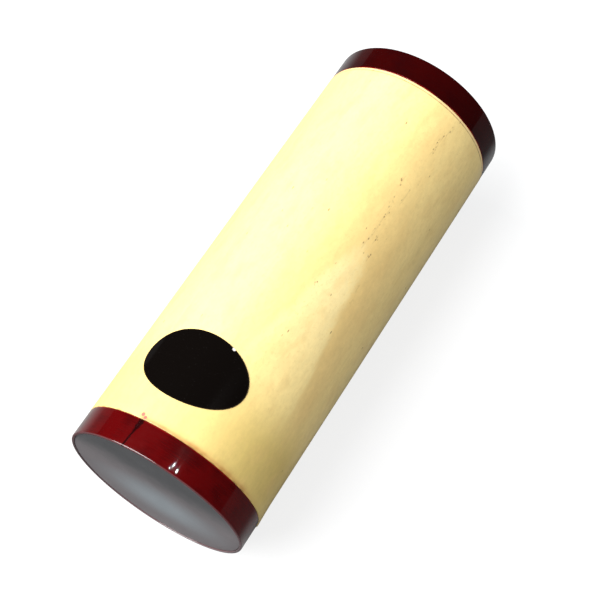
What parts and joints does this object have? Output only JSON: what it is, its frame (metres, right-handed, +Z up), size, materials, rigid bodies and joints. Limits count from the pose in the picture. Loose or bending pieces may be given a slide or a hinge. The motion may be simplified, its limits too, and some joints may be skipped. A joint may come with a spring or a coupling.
{
  "type": "tube shaker",
  "caption": "Closed wooden tube shaker with a lacquered hoop and a flat metal head at each end, an oval label and loose shot inside.",
  "frame": {"origin": "on the surface that the shaker lies on, under the middle of the tube", "axes": "+X along the tube from the end beside the label to the other end, +Z up, +Y to the side that the label leans to"},
  "size_m": [0.1586, 0.0602, 0.0603],
  "materials": {
    "veneer": "clear gloss lacquer over pale veneer",
    "core_ply": "bare ply",
    "hoop_lacquer": "dark red high-gloss lacquer on wood",
    "head_metal": "satin grey sheet metal",
    "label_face": "glossy black sticker",
    "shot_steel": "plain steel balls"
  },
  "bodies": {
    "tube": {"face_veneer": "veneer", "cross_ply": "core_ply", "inner_ply": "core_ply", "near_hoop": "hoop_lacquer", "far_hoop": "hoop_lacquer", "near_head": "head_metal", "far_head": "head_metal", "label": "label_face"},
    "shot_low": {"shot_bed": "shot_steel"},
    "shot_high": {"shot_top": "shot_steel"}
  },
  "joints": [
    {"name": "shot_swing", "type": "hinge", "parent": "tube", "child": "shot_low", "pos_m": [0, 0, 0.03007], "axis": [1, 0, 0], "continuous": true},
    {"name": "shot_run", "type": "slide", "parent": "shot_low", "child": "shot_high", "axis": [1, 0, 0], "range_m": [-0.023, 0.023]}
  ]
}
